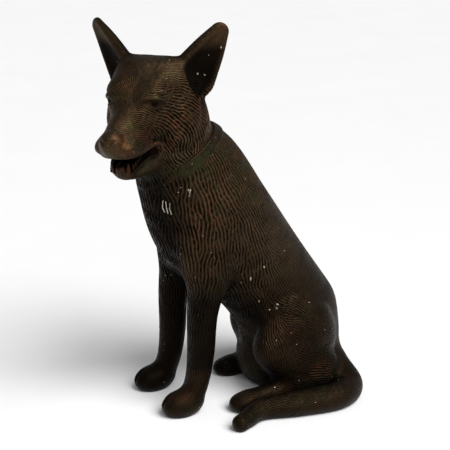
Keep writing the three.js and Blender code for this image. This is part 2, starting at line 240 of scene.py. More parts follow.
def trail(*stations, lift=0):
    """Stations (x, y, z, radius) laid on the head's surface."""
    return [tuple(seat(s[:3], lift)[0]) + (s[3],) for s in stations]


def plain_head(q):
    return blend(skull(q), jaw(q), 7)


GAPE_BACK, GAPE_HEIGHT, GAPE_DROP = -84, -65, .42  # the corner of the lips, and the fall to the front


def gape(q):
    """The open mouth: a round-ended wedge that grows forward from the corner of the lips."""
    run = GAPE_BACK - q[:, 1]
    off = np.abs(q[:, 2] - GAPE_HEIGHT + GAPE_DROP * np.maximum(run, 0))
    return np.where(run > 0, off - 5 - .2 * np.maximum(run, 0), np.hypot(np.minimum(run, 0), off) - 5)


def teeth(m):
    d = FAR
    for i in range(6):
        run = 8 + 6 * i
        d = np.minimum(d, ball(m, (26 - 1.25 * i, GAPE_BACK - run, -67.5 - .62 * run), (2.7, 2.6, 6.5)))
        d = np.minimum(d, ball(m, (33 - 2.2 * i, GAPE_BACK - run - 2, -58.5 - .22 * run), (2.5, 2.5, 5)))
    d = np.minimum(d, tube(m, [(14, -129, -100, 4.6), (15.5, -131, -91, 3.4), (16, -132, -82, 1)], 3))
    for x in (3, 8.5):
        d = np.minimum(d, ball(m, (x, -137 + .1 * x * x, -98), (2.6, 2, 5)))
    return d


def eye_parts():
    at, out = seat((46, -76, 14))
    socket = trail((30, -89, 16, 2), (38, -83, 16, 6.4), (48, -74, 14, 7.4), (56, -62, 11, 2.6),
                   lift=2.4)
    upper = trail((27, -91, 17, 1), (35, -86, 22, 1.7), (45, -78, 24, 2), (53, -67, 20, 1.8),
                  (60, -56, 9, 1), lift=-.7)
    lower = trail((30, -89, 13, .8), (38, -84, 9, 1.3), (47, -75, 6.5, 1.5), (55, -64, 7, 1), lift=-.8)
    crease = trail((31, -86, 29, .8), (43, -78, 32, 1.6), (55, -65, 27, 1.5), (64, -53, 17, .8), lift=.3)
    return dict(middle=at - out * 11.4, socket=socket, lids=(upper, lower), crease=crease,
                pupil=seat((49, -74, 13), -1.6)[0])


EYE = eye_parts()
NOSTRIL = trail((6.5, -176, -38, 3), (9.5, -174, -34, 2.6), (14, -168, -33, 1.2), lift=.8)
PHILTRUM = trail((0, -173, -54, .8), (0, -168, -62, 1), (0, -160, -68, 1), lift=.4)
RUFF = trail((92, 26, 4, 4), (96, 14, -20, 6), (95, 6, -45, 7.5), (89, -3, -68, 8), (76, -12, -94, 8.5),
             (57, -26, -106, 8), (44, -44, -103, 6.5), (44, -62, -90, 4), lift=3.5)
LIP = [(0, -158, -64, 2), (12, -155, -66, 2.2), (28, -140, -66, 3), (40, -116, -59, 3.6),
       (47, -97, -55, 4), (52, -83, -54, 3.8), (54, -74, -61, 3.2), (50, -70, -73, 2)]
LOWER_LIP = [(47, -76, -78, 2), (36, -94, -80, 2.4), (29, -112, -91, 2.4), (22, -127, -100, 2.2)]


def details(m, d):
    d = carve(d, tube(m, EYE["socket"], 3), 4)
    d = blend(d, ball(m, EYE["middle"], 9.4), 1.5)
    for lid in EYE["lids"]:
        d = blend(d, tube(m, lid, 2), 2)
    d = carve(d, tube(m, EYE["crease"], 2), 3)
    d = carve(d, ball(m, EYE["pupil"], 2.8), 1)
    d = carve(d, tube(m, NOSTRIL, 2), 2.5)
    d = carve(d, tube(m, PHILTRUM, 3), 3)
    d = carve(d, tube(m, RUFF, 6), 9)
    return blend(d, tube(m, LIP, 5), 6)


EAR_OUT = np.array([.91, .4, 0]) / math.hypot(.4, .91)
EAR_FRONT = np.array([.4, -.91, 0]) / math.hypot(.4, .91)
EAR = (71, 22, 44, 43, .38), (102, 28.5, 92, 29.3, .42), (125, 31.5, 127, 16.5, .42)


def scoop(station, front, out, radius):
    return tuple(np.array(station[:3]) + EAR_FRONT * front + EAR_OUT * out) + (radius, .5)


SCOOP = [scoop(EAR[0], 14, 9, 30), scoop(EAR[1], 12, 8.5, 19), scoop(EAR[2], 9, 3.5, 8.5)]


def ear(m):
    return carve(tube(m, EAR, 6, EAR_FRONT), tube(m, SCOOP, 6, EAR_FRONT), 6)


def head(p, fine=False):
    q = on_head(p)
    m = mirrored(q)
    d = plain_head(q)
    if fine:
        d = details(m, d)
        d = carve(d, gape(q), 4)
        d = blend(d, tube(m, LOWER_LIP, 5), 5)
        d = blend(d, ball(q, (0, -106, -94), (16, 34, 13)), 4)
        d = np.minimum(d, teeth(m))
    return blend(d, ear(m), 10)


REACH = {  # the box each part can be felt in
    "body": ((-200, -270, -10), (200, 300, 690)),
    "fore": ((-130, -220, -10), (130, 20, 440)),
    "hind": ((-170, -120, -10), (190, 240, 260)),
    "head": ((-230, -430, 400), (240, 60, 830)),
    "tail": ((-60, -140, -10), (250, 270, 150)),
    "fold": ((60, 10, 140), (150, 130, 230)),
}


def felt(p, name, margin=40):
    lo, hi = REACH[name]
    return (p.max(0) > np.array(lo) - margin).all() and (p.min(0) < np.array(hi) + margin).all()


def form(p, fine=False):
    """Signed distance to the dog; one small lump of space at a time."""
    d = body(p) if felt(p, "body", 0) else np.full(len(p), FAR, F32)
    if felt(p, "fore", 0):
        d = blend(d, np.minimum(foreleg(p, **LEFT), foreleg(p, **RIGHT)), BLEND_LEG)
    if felt(p, "hind", 0):
        d = blend(d, np.minimum(hindleg(p, **LEFT), hindleg(p, **RIGHT)), BLEND_LEG)
    if felt(p, "head", 0):
        d = blend(d, head(p, fine), BLEND_HEAD)
    if felt(p, "tail", 0):
        d = np.minimum(blend(d, tube(p, TAIL[:3]), BLEND_TAIL), tube(p, TAIL, 6))
    if felt(p, "fold", 0):
        d = blend(d, tube(p, FOLD, 5), 4)
    return np.maximum(d, -p[:, 2])


def evaluate(field, p, lump=45):
    """field at many points, in lumps of space, on all cores."""
    p = np.asarray(p, F32)
    key = np.floor(p / lump).astype(np.int64)
    order = np.lexsort(key.T)
    cuts = np.flatnonzero(np.any(np.diff(key[order], axis=0) != 0, axis=1)) + 1
    lumps = [piece for part in np.split(order, cuts)
             for piece in np.array_split(part, max(1, len(part) // 12000))]
    out = np.empty(len(p), F32)

    def work(ids):
        out[ids] = field(p[ids])
    with ThreadPoolExecutor(4) as pool:
        list(pool.map(work, lumps))
    return out


# ---------------------------------------------------------------- surface
CORNERS = list(product((0, 1), repeat=3))


def skin(field, lo, hi, cell):
    """Surface nets: one vertex in each cell the surface crosses, one quad for each crossed edge."""
    lo, hi = np.array(lo, float), np.array(hi, float)
    n = np.ceil((hi - lo) / cell).astype(int) + 1
    coarse = [np.arange(0, n[i] + 3, 4) for i in range(3)]
    grid = np.stack(np.meshgrid(*[lo[i] + cell * coarse[i] for i in range(3)], indexing="ij"), -1)
    rough = evaluate(field, grid.reshape(-1, 3)).reshape(grid.shape[:3])
    near = np.abs(rough) < 7.5 * cell
    f = np.repeat(np.repeat(np.repeat(np.sign(rough), 4, 0), 4, 1), 4, 2)[2:, 2:, 2:]
    f = f[:n[0], :n[1], :n[2]].astype(F32) * 50
    offsets = np.array(list(product(range(-2, 3), repeat=3)))
    ids = (np.argwhere(near)[:, None, :] * 4 + offsets).reshape(-1, 3)
    ids = ids[((ids >= 0) & (ids < n)).all(1)]
    flat = np.unique(np.ravel_multi_index(ids.T, n))
    ids = np.stack(np.unravel_index(flat, n), 1)
    f.reshape(-1)[flat] = evaluate(field, lo + cell * ids)
    inside = f < 0
    count = sum(inside[i:n[0] - 1 + i, j:n[1] - 1 + j, k:n[2] - 1 + k].astype(np.int8)
                for i, j, k in CORNERS)
    cells = np.argwhere((count > 0) & (count < 8))
    vertex = np.full(tuple(n - 1), -1, np.int64)
    vertex[tuple(cells.T)] = np.arange(len(cells))
    total, crossed = np.zeros((len(cells), 3)), np.zeros(len(cells))
    for a, b in combinations(np.array(CORNERS), 2):
        if np.abs(a - b).sum() != 1:
            continue
        fa, fb = f[tuple((cells + a).T)], f[tuple((cells + b).T)]
        cut = (fa < 0) != (fb < 0)
        t = np.where(cut, fa / np.where(fa == fb, 1, fa - fb), 0)
        total[cut] += (a + t[:, None] * (b - a))[cut]
        crossed[cut] += 1
    quads = []
    for axis in range(3):
        u, w = (axis + 1) % 3, (axis + 2) % 3
        first = np.take(inside, np.arange(n[axis] - 1), axis)
        edges = np.argwhere(first != np.take(inside, np.arange(1, n[axis]), axis))
        clear = (edges > 0) & (edges < n - 1)
        edges = edges[clear[:, u] & clear[:, w]]

        def at(du, dw):
            q = edges.copy()
            q[:, u] += du
            q[:, w] += dw
            return vertex[tuple(q.T)]
        quad = np.stack([at(-1, -1), at(0, -1), at(0, 0), at(-1, 0)], 1)
        back = ~first[tuple(edges.T)]
        quad[back] = quad[back][:, ::-1]
        quads.append(quad)
    return lo + cell * (cells + total / crossed[:, None]), np.concatenate(quads)


def vertex_normals(v, quads):
    face = np.cross(v[quads[:, 2]] - v[quads[:, 0]], v[quads[:, 3]] - v[quads[:, 1]])
    n = np.stack([sum(np.bincount(quads[:, i], face[:, a], len(v)) for i in range(4))
                  for a in range(3)], 1)
    return n / np.maximum(np.linalg.norm(n, axis=1, keepdims=True), 1e-12)


def split_quads(v, quads):
    """Each quad into four."""
    pairs = np.sort(np.stack([quads, np.roll(quads, -1, 1)], -1).reshape(-1, 2), 1)
    key, where = np.unique(pairs[:, 0] * len(v) + pairs[:, 1], return_inverse=True)
    middle = (v[key // len(v)] + v[key % len(v)]) / 2
    side = where.reshape(-1, 4) + len(v)
    centre = np.arange(len(quads)) + len(v) + len(key)
    new = np.concatenate([v, middle, v[quads].mean(1)])
    fours = [np.stack([quads[:, i], side[:, i], centre, side[:, i - 1]], 1) for i in range(4)]
    return new, np.concatenate(fours)


def settle(field, v, quads, rounds=2, limit=1.2):
    """Moves every vertex along its normal onto the surface."""
    for _ in range(rounds):
        n = vertex_normals(v, quads)
        here, there = evaluate(field, v), evaluate(field, v + n * PROBE)
        slope = np.clip((there - here) / PROBE, .35, 1.5)
        v = v - n * np.clip(here / slope, -limit, limit)[:, None]
    return v


# ---------------------------------------------------------------- coat
def waves(p, length, seed, count=7):
    """Smooth noise, about -1 to 1, with features of that length."""
    rng = np.random.default_rng(seed)
    k = rng.normal(size=(count, 3))
    k *= (rng.uniform(.7, 1.5, count) / np.linalg.norm(k, axis=1) * 2 * np.pi / length)[:, None]
    return np.sin(p @ k.T + rng.uniform(0, 6.28, count)).sum(1) / math.sqrt(count)


# Comb strokes: where, which way the hair lies, groove spacing and depth in mm.
SIDE = [  # each also mirrored to the right side
    ((60, -150, 470), (.1, .1, -1), 7.5, 1.5), ((85, -110, 450), (0, .12, -1), 7.2, 1.6),
    ((90, -70, 430), (0, .25, -1), 7, 1.4), ((70, -30, 430), (0, .45, -1), 6, .9),
    ((40, -170, 420), (.1, 0, -1), 7.5, 1.5), ((92, -110, 380), (.05, .02, -1), 7.5, 1.6),
    ((95, -60, 360), (.05, .15, -1), 7.2, 1.6), ((88, 0, 350), (0, .4, -1), 6.4, 1.2),
    ((60, 50, 340), (0, .6, -1), 4.2, 0.45), ((30, 70, 330), (0, .7, -1), 3.9, 0.34),
    ((92, -95, 310), (.02, -.1, -1), 7.2, 1.5), ((95, -45, 290), (.05, .1, -1), 7, 1.5),
    ((92, 10, 270), (.05, .35, -1), 6.6, 1.4), ((84, 60, 250), (.1, .5, -1), 5, 0.83),
    ((60, 120, 240), (0, .5, -1), 4, 0.38), ((80, -20, 220), (0, .25, -1), 6.6, 1.3),
    ((70, -40, 200), (0, .3, -1), 6.4, 1.2), ((30, -60, 200), (0, .4, -1), 6.4, 1),
    ((25, -165, 330), (0, .1, -1), 7.5, 1.5), ((35, -140, 280), (.1, .1, -1), 7, 1.2),
    ((88, -100, 220), (0, -.05, -1), 6, 1.1), ((60, -130, 200), (0, 0, -1), 5.6, 1),
    ((92, -105, 120), (0, -.08, -1), 4.4, 0.6), ((64, -135, 110), (0, -.05, -1), 4.4, 0.6),
    ((40, -105, 120), (0, 0, -1), 4.4, 0.6), ((64, -80, 110), (0, -.05, -1), 4.4, 0.6),
    ((85, -130, 50), (0, -.5, -.9), 4.2, 0.38), ((66, -160, 45), (0, -.9, -.5), 4.2, 0.26),
    ((40, 190, 220), (0, .3, -1), 3.9, 0.3), ((30, 215, 130), (.3, .1, -1), 4, 0.38),
    ((120, 60, 190), (.1, .85, -.35), 5, 0.9), ((125, 20, 170), (.05, .2, -1), 5, 0.9),
    ((135, 60, 140), (0, .55, -.8), 5, 0.98), ((138, 110, 150), (0, .9, -.4), 5, 0.9),
    ((130, 150, 120), (0, .9, -.2), 4.7, 0.75), ((110, 175, 160), (0, .5, -.8), 4.2, 0.45),
    ((138, 90, 90), (0, .85, -.3), 5, 1.05), ((132, 40, 90), (0, .5, -.9), 5, 0.9),
    ((130, 130, 70), (0, .95, -.1), 5, 1.05), ((105, 160, 60), (0, 1, -.2), 4.7, 0.68),
    ((130, 60, 35), (0, -1, -.1), 4.7, 0.6), ((105, 0, 40), (0, -1, -.15), 4.2, 0.45),
    ((104, -45, 25), (0, -.9, -.4), 4.2, 0.22),
]
SINGLE = [  # the back, chest and tail
    ((0, -75, 520), (0, .5, -1), 5, .5), ((0, -10, 450), (0, .6, -1), 4.6, .4),
    ((0, 70, 350), (0, .65, -1), 3.7, 0.24), ((0, 150, 240), (0, .5, -1), 3.7, 0.24),
    ((0, 210, 130), (.2, .1, -1), 3.9, 0.28), ((0, -205, 480), (0, .1, -1), 7, 1.3),
    ((0, -200, 400), (0, .05, -1), 7.5, 1.5), ((0, -180, 330), (0, .15, -1), 7.5, 1.5),
    ((0, -130, 250), (0, .4, -1), 6.5, 1),
    ((60, 215, 60), (1, .2, -.2), 4.2, 0.56), ((120, 200, 50), (.9, -.4, -.1), 4.2, 0.63),
    ((165, 185, 35), (.3, -1, 0), 4.2, 0.7), ((188, 140, 40), (0, -1, -.05), 4.2, 0.7),
    ((188, 60, 35), (0, -1, -.05), 4.2, 0.7), ((175, 0, 30), (-.1, -1, -.05), 5, .9),
    ((178, -50, 25), (.3, -1, -.1), 4.6, .7), ((185, -85, 18), (.2, -1, -.2), 4.6, .5),
    ((150, 80, 46), (0, -1, 0), 4.2, 0.7), ((145, 0, 36), (0, -1, 0), 5, .8),
]
FACE = [  # in the head's frame, each also mirrored
    ((0, -160, -22), (.2, 1, .15), 3, 0.3), ((9, -130, -8), (.8, .6, -.2), 3.4, 0.4),
    ((12, -100, 8), (.8, .6, -.1), 3.6, 0.5), ((28, -140, -36), (.3, .8, -.55), 3.5, 0.6),
    ((38, -120, -36), (.3, .8, -.6), 3.7, 0.8), ((46, -100, -24), (.35, .8, -.6), 4, 0.9),
    ((40, -98, 0), (.6, .7, -.4), 3.9, 0.9), ((54, -84, -26), (.3, .75, -.65), 5.4, 1.4),
    ((60, -72, -14), (.35, .8, -.55), 5.8, 1.6), ((64, -60, -40), (.25, .55, -.8), 6.2, 1.8),
    ((60, -80, -52), (.2, .35, -.95), 5.8, 1.5), ((66, -66, -74), (.1, .25, -1), 6, 1.8),
    ((76, -50, -80), (.1, .2, -1), 6.2, 1.8), ((84, -36, -64), (.1, .3, -.95), 6.4, 1.9),
    ((76, -40, -24), (.25, .7, -.75), 6.4, 1.8), ((88, -15, -20), (.1, .75, -.75), 6.4, 1.9),
    ((90, -15, -60), (.05, .35, -1), 6.4, 1.9), ((70, -45, 8), (.35, .9, -.2), 5.6, 1.5),
    ((80, -20, 18), (.3, .9, -.3), 5.8, 1.6), ((62, -52, 28), (.5, .8, .15), 5, 1.1),
    ((92, 8, 0), (.05, .6, -.85), 6, 1.5), ((94, 10, -40), (0, .4, -1), 6, 1.4),
    ((88, 40, -20), (0, .2, -1), 5, .8), ((80, 50, -60), (0, .2, -1), 5, .8),
    ((30, -84, 34), (.8, .5, .5), 2.7, 0.4), ((20, -70, 44), (.85, .5, .35), 2.7, 0.45),
    ((36, -50, 62), (.9, .4, .3), 2.7, 0.5), ((50, -40, 52), (.9, .4, .2), 2.9, 0.6),
    ((40, -20, 76), (.9, .4, .2), 2.9, 0.5), ((20, 10, 82), (.6, .8, .1), 3.4, 0.4),
    ((0, 60, 70), (.1, 1, -.4), 3.9, 0.4), ((50, 70, 30), (.1, .6, -.8), 5, .5),
    ((60, 90, -30), (.1, .3, -1), 5, .5), ((0, 100, 0), (0, .4, -1), 5, .4),
    ((95, 5, 70), (.5, .1, .9), 3.4, 0.15), ((120, 25, 120), (.5, .1, .9), 3.4, 0.1),
    ((110, 45, 70), (.4, .1, .9), 3.7, 0.35), ((80, 45, 60), (.4, .1, .9), 3.7, 0.4),
    ((45, -100, -92), (.2, .8, -.5), 4.2, 0.5), ((20, -125, -112), (.1, 1, -.3), 4.2, 0.3),
    ((30, -90, -122), (.1, 1, -.1), 5, .6), ((0, -60, -128), (0, 1, -.2), 5.4, .7),
    ((50, -50, -112), (.2, .6, -.7), 5.4, .9),
]


def strokes():
    rows = []
    for at, way, spacing, depth in SIDE:
        rows.append((at, way, spacing, depth))
        rows.append(((-at[0], at[1], at[2]), (-way[0], way[1], way[2]), spacing, depth))
    rows += SINGLE
    for at, way, spacing, depth in FACE:
        for s in (1, -1):
            if s == 1 or at[0]:
                flipped = (at[0] * s, at[1], at[2]), (way[0] * s, way[1], way[2])
                rows.append((from_head(flipped[0]), HEAD_TURN @ np.array(flipped[1]), spacing, depth))
    at, way = np.array([r[0] for r in rows], float), np.array([r[1] for r in rows], float)
    way /= np.linalg.norm(way, axis=1, keepdims=True)
    return at, way, np.array([r[2] for r in rows]), np.array([r[3] for r in rows])


STROKES = strokes()


def comb(p, n, swirl=.24):
    """Hair direction along the surface, groove spacing and groove depth at each point."""
    at, way, spacing, depth = STROKES
    lay, space, deep = np.empty_like(p), np.empty(len(p)), np.empty(len(p))
    for ids in np.array_split(np.arange(len(p)), max(1, len(p) // 20000)):
        gap = ((p[ids, None, :] - at) ** 2).sum(2)
        w = 1 / (gap + 60) ** 2
        w /= w.sum(1, keepdims=True)
        lay[ids], space[ids], deep[ids] = w @ way, w @ spacing, w @ depth
    angle = swirl * waves(p, 46, 3) + .7 * swirl * waves(p, 21, 5) + .25 * swirl * waves(p, 11, 8)
    lay -= n * (lay * n).sum(1, keepdims=True)
    lay /= np.maximum(np.linalg.norm(lay, axis=1, keepdims=True), 1e-9)
    lay = lay * np.cos(angle)[:, None] + np.cross(n, lay) * np.sin(angle)[:, None]
    rough = np.clip(.85 + .4 * waves(p, 15, 9) + .4 * waves(p, 37, 10), .2, 1.5)
    return lay, np.maximum(space, 3.5), (.4 + .8 * deep) * rough


def neighbours(tree, p, count):
    return np.array([[hit[1] for hit in tree.find_n(point, count)] for point in p.tolist()])


def grooves(v, n, sampling=.62, around=9, first=lambda p: -p[:, 2]):
    """Phase, depth and spacing of the engraved lines, which follow the hair and fork where crowded."""
    lay, space, deep = comb(v, n)
    key = np.floor(v / (sampling * space.mean())).astype(np.int64)
    _, pick = np.unique(key, axis=0, return_index=True)
    pick = pick[np.argsort(first(v[pick]), kind="stable")]
    sp, sn, sl, ss = v[pick], n[pick], lay[pick], space[pick]
    rate = np.cross(sn, sl) * (2 * np.pi / ss)[:, None]
    tree = kdtree.KDTree(len(pick))
    for i, point in enumerate(sp.tolist()):
        tree.insert(point, i)
    tree.balance()
    near = neighbours(tree, sp, around + 1)[:, 1:]
    step = sp[:, None, :] - sp[near]
    ahead = ((rate[:, None, :] + rate[near]) / 2 * step).sum(2)
    weight = np.exp(-(step ** 2).sum(2) / (1.2 * ss[:, None]) ** 2)
    weight = weight * np.clip((sn[:, None, :] * sn[near]).sum(2), 0, 1)
    phase = np.zeros(len(pick), complex)
    turnon = np.exp(1j * ahead) * weight
    rows = np.array_split(np.arange(len(pick)), max(1, len(pick) // 60))
    for row in rows:
        for _ in range(3):
            z = (phase[near[row]] * turnon[row]).sum(1)
            size = np.abs(z)
            phase[row] = np.where(size > 1e-6, z / np.maximum(size, 1e-9), 1)
    for _ in range(25):
        z = phase + 1.5 * (phase[near] * turnon).sum(1)
        phase = z / np.maximum(np.abs(z), 1e-9)
    hits = neighbours(tree, v, 7)
    step = v[:, None, :] - sp[hits]
    w = np.exp(-(step ** 2).sum(2) / (.55 * ss[hits]) ** 2)
    w = w * np.clip((n[:, None, :] * sn[hits]).sum(2), .02, 1)
    z = (phase[hits] * np.exp(1j * (rate[hits] * step).sum(2)) * w).sum(1)
    sure = np.clip(np.abs(z) / np.maximum(w.sum(1), 1e-9) * 1.35 - .25, 0, 1)
    return z / np.maximum(np.abs(z), 1e-9), deep * sure, space


def cut_profile(z):
    """0 on the ridge, 1 at the bottom of the cut, which is narrower than the ridge."""
    return ((1 - z.real) / 2) ** 1.5


# ---------------------------------------------------------------- bronze
def srgb(r, g, b):
    return tuple(((c / 255 + .055) / 1.055) ** 2.4 if c > 10 else c / 3294 for c in (r, g, b)) + (1,)


class Nodes:
    def __init__(self, name):
        self.material = bpy.data.materials.new(name)
        self.material.use_nodes = True
        self.tree = self.material.node_tree
        self.shader = self.tree.nodes["Principled BSDF"]

    def add(self, kind, inputs=None, **settings):
        node = self.tree.nodes.new(kind)
        for k, value in settings.items():
            setattr(node, k, value)
        for k, value in (inputs or {}).items():
            self.put(node.inputs[k], value)
        return node

    def put(self, socket, value):
        if isinstance(value, bpy.types.NodeSocket):
            self.tree.links.new(value, socket)
        else:
            socket.default_value = value

    def math(self, how, a, b=0.0, c=0.0, clamp=False):
        node = self.add("ShaderNodeMath", operation=how, use_clamp=clamp)
        for socket, value in zip(node.inputs, (a, b, c)):
            self.put(socket, value)
        return node.outputs[0]

    def read(self, name):
        return self.add("ShaderNodeAttribute", attribute_name=name).outputs["Fac"]

    def noise(self, scale, detail=3.0, rough=.55, warp=0.0):
        inputs = {"Vector": self.place, "Scale": scale, "Detail": detail, "Roughness": rough,
                  "Distortion": warp}
        return self.add("ShaderNodeTexNoise", inputs).outputs["Fac"]

    def step(self, value, lo, hi, a=0.0, b=1.0):
        inputs = {"Value": value, "From Min": lo, "From Max": hi, "To Min": a, "To Max": b}
        return self.add("ShaderNodeMapRange", inputs, interpolation_type="SMOOTHSTEP").outputs[0]

    def mix(self, amount, a, b):
        node = self.add("ShaderNodeMix", data_type="RGBA")
        for socket, value in zip((node.inputs[0], node.inputs[6], node.inputs[7]), (amount, a, b)):
            self.put(socket, value)
        return node.outputs[2]


def shaded(colour, k):
    return tuple(min(1, c * k) for c in colour[:3]) + (1,)


def bronze(name, base, worn, rust, verdigris, dirt_and_shade, green=.5, red=.5):
    """Old bronze, browned with age: worn light on the ridges, blackened in the cuts, rusty and green
    patches, and painted shade.
    """
    m = Nodes(name)
    m.place = m.add("ShaderNodeTexCoord").outputs["Object"]
    across, along = m.read("wave_x"), m.read("wave_y")
    length = m.math("SQRT", m.math("MULTIPLY_ADD", across, across, m.math("MULTIPLY", along, along)))
    cosine = m.math("DIVIDE", across, m.math("MAXIMUM", length, .01))
    cut = m.math("POWER", m.math("MULTIPLY_ADD", cosine, -.5, .5), 1.4, clamp=True)
    occluded_shade, depth, painted_region_shade, paint = m.read("occluded_shade"), m.read("depth"), m.read("painted_region_shade"), m.read("paint")
    deep = m.math("MINIMUM", m.math("MULTIPLY", depth, 1.4), 1.0)
    broad, middle, fine = m.noise(9, 4), m.noise(38, 5, .6, .4), m.noise(420, 4, .65)
    patch, grain = m.noise(110, 5, .65, .3), m.noise(1500, 2)

    colour = m.mix(m.step(broad, .36, .64), shaded(base, 1.25), shaded(base, .6))
    uneven = m.math("MULTIPLY", deep, m.step(m.noise(14, 3), .36, .62, .55, 1.1))
    ridge = m.math("MULTIPLY", m.step(cut, .42, .02), uneven)
    # less worn light where the painted shade lies
    bare = m.math("MULTIPLY", m.step(middle, .36, .62, .16, .9), m.step(painted_region_shade, .1, 1, .75, .45))
    colour = m.mix(m.math("MULTIPLY", ridge, bare), colour, worn)
    colour = m.mix(m.step(fine, .52, .68, 0, .55), colour, worn)
    reddish = m.math("MULTIPLY", m.step(middle, .4, .62), m.step(m.noise(6, 3), .42, .58))
    colour = m.mix(m.math("MULTIPLY", reddish, red), colour, rust)
    blotch = m.step(m.noise(24, 5, .6, .5), .44, .62)
    greenish = m.math("MULTIPLY", blotch, m.step(m.noise(7, 2), .45, .58))
    colour = m.mix(m.math("MULTIPLY", greenish, green), colour, verdigris)
    colour = m.mix(m.step(fine, .46, .3, 0, .6), colour, dirt_and_shade)
    # painted shade: the breast, legs, far side, undersides and creases darken towards a dark copy of the
    # base colour
    colour = m.mix(m.math("MULTIPLY", painted_region_shade, .94), colour, shaded(base, .1))
    hollow = m.math("MULTIPLY", m.step(cut, .3, .8), deep)
    filled = m.math("MULTIPLY", hollow, m.step(patch, .35, .65, .38, .83))
    # painted shade in closed-in places, together with the blackened cuts
    dark = m.math("MAXIMUM", filled, m.step(occluded_shade, .15, .7, 0, .95))
    colour = m.mix(dark, colour, dirt_and_shade)
    speck = m.add("ShaderNodeTexVoronoi", {"Vector": m.place, "Scale": 75.0}).outputs["Distance"]
    splash = m.math("MULTIPLY", m.step(speck, .085, .06), m.step(m.noise(31, 2), .52, .56))
    chipped = m.math("ADD", paint, m.math("MULTIPLY", m.math("SUBTRACT", m.noise(300, 3, .7), .5), .4))
    flake = m.math("MULTIPLY", m.math("MAXIMUM", m.step(chipped, .97, 1.05), splash), .75)
    colour = m.mix(flake, colour, srgb(190, 184, 166))
    m.put(m.shader.inputs["Base Color"], colour)
    rough = m.step(fine, .3, .7, .36, .58)
    rough = m.math("ADD", rough, m.math("MULTIPLY", dark, .3), clamp=True)
    m.put(m.shader.inputs["Roughness"], rough)
    m.shader.inputs["Metallic"].default_value = .88
    m.shader.inputs["Specular IOR Level"].default_value = .15
    height = m.math("MULTIPLY_ADD", m.math("MULTIPLY", cut, depth), -.9, m.math("MULTIPLY", fine, .45))
    height = m.math("MULTIPLY_ADD", grain, .1, height)
    height = m.math("MULTIPLY_ADD", patch, .5, height)
    bump = m.add("ShaderNodeBump", {"Height": height, "Strength": .9, "Distance": .001})
    m.put(m.shader.inputs["Normal"], bump.outputs[0])
    return m.material


BROWN, WORN, RUST = srgb(54, 41, 27), srgb(102, 83, 58), srgb(74, 38, 22)
GREEN, BLACK = srgb(48, 52, 27), srgb(9, 6, 4)
MATERIALS = {
    "body_bronze": bronze("body_bronze", BROWN, WORN, RUST, GREEN, BLACK),
    "collar_bronze": bronze("collar_bronze", srgb(44, 37, 23), srgb(88, 78, 52), RUST, GREEN, BLACK,
                            green=.8),
    "mouth_bronze": bronze("mouth_bronze", srgb(40, 34, 22), srgb(90, 80, 54), RUST, GREEN, BLACK,
                           green=.7),
}

# ---------------------------------------------------------------- making
CELL, HEAD_CELL = ((3.2, 2.2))

# Dried white paint, as short strokes and dots in the sculptor's frame: from, to, half width.
PAINT = [((75, -134, 456), (77, -132, 450), 1.1), ((80, -130, 455), (77, -132, 450), 1.1),
         ((77, -132, 450), (75, -134, 443), 1.1), ((52, -178, 432), (52, -180, 420), 1),
         ((52, -180, 420), (54, -178, 409), 1), ((57, -173, 431), (56, -175, 419), 1),
         ((56, -175, 419), (58, -172, 408), 1), ((61, -168, 428), (61, -169, 416), .9),
         ((61, -169, 416), (63, -166, 407), .9), ((84, 19, 284), (84, 20, 282), 1.6),
         ((80, -9, 264), (81, -7, 259), 2), ((85, 48, 199), (86, 47, 195), 2.6),
         ((73, 16, 209), (73, 16, 208), 1.4), ((93, -76, 716), (93, -76, 714), 1.2),
         ((63, -107, 666), (63, -107, 665), 1.6), ((70, -98, 664), (70, -98, 663), 1.6),
         ((127, 76, 49), (127, 78, 48), 1.4), ((158, 98, 48), (158, 96, 48), 1.2)]

# Painted shade where flank and thigh, belly and legs meet: middle and reach.
CREASE_SHADE_AT = [(np.array([70, -15, 175]), 75), (np.array([90, -10, 60]), 60)]


def painted_hollow_shade(v):
    """1 where the painted shade is deepest: in the ears, the eyes and the mouth."""
    m = mirrored(on_head(v))
    ears = np.clip(.62 - tube(m, SCOOP, 6, EAR_FRONT) / 10, 0, .93)
    ears = ears * np.clip((130 - m[:, 2]) / 40, .2, 1)
    near = tube(m, EYE["socket"], 3)
    eyes = np.maximum(.85 * (1 - np.clip((near + 2) / 3, 0, 1)), .45 * (1 - np.clip(near / 8, 0, 1)))
    lips = .5 * (1 - np.clip((tube(m, LOWER_LIP, 5) - 1) / 8, 0, 1))
    return np.where(beyond(v) > 0, np.maximum(np.maximum(ears, eyes), lips), 0)


def painted_shade_by_place(v, n):
    """Painted shade, 0 to 1: little on the back and face; darker low down, on the breast and legs, on
    the far side, under faces that look down, and where the parts meet.
    """
    x, y, z = v.T
    low = .69 * np.clip((430 - z) / 230, 0, 1)
    legs = np.clip((-50 - y) / 30, 0, 1) * np.clip((330 - z) / 100, 0, 1) * np.clip((z - 40) / 60, .5, 1)
    breast = np.clip((-95 - y) / 50, 0, 1) * np.clip((95 - x) / 45, 0, 1) * np.clip((540 - z) / 60, 0, 1)
    off_side = np.clip((25 - x) / 50, 0, 1) * np.clip((420 - z) / 100, 0, 1)
    under = np.clip(-1.7 * n[:, 2], 0, 1) * np.clip((520 - z) / 100, 0, 1)
    crease_shade = [1.4 - np.linalg.norm(v - at, axis=1) / reach for at, reach in CREASE_SHADE_AT]
    return np.clip(np.max([low, legs, breast, off_side, under] + crease_shade, axis=0), 0, 1)


def cavity(field, v, n):
    """How closed-in each point is, 0 to 1."""
    out = 0
    for reach, share in ((7, .5), (18, .3), (36, .2)):
        out = out + share * np.clip(1 - evaluate(field, v + n * reach) / reach, 0, 1)
    return out


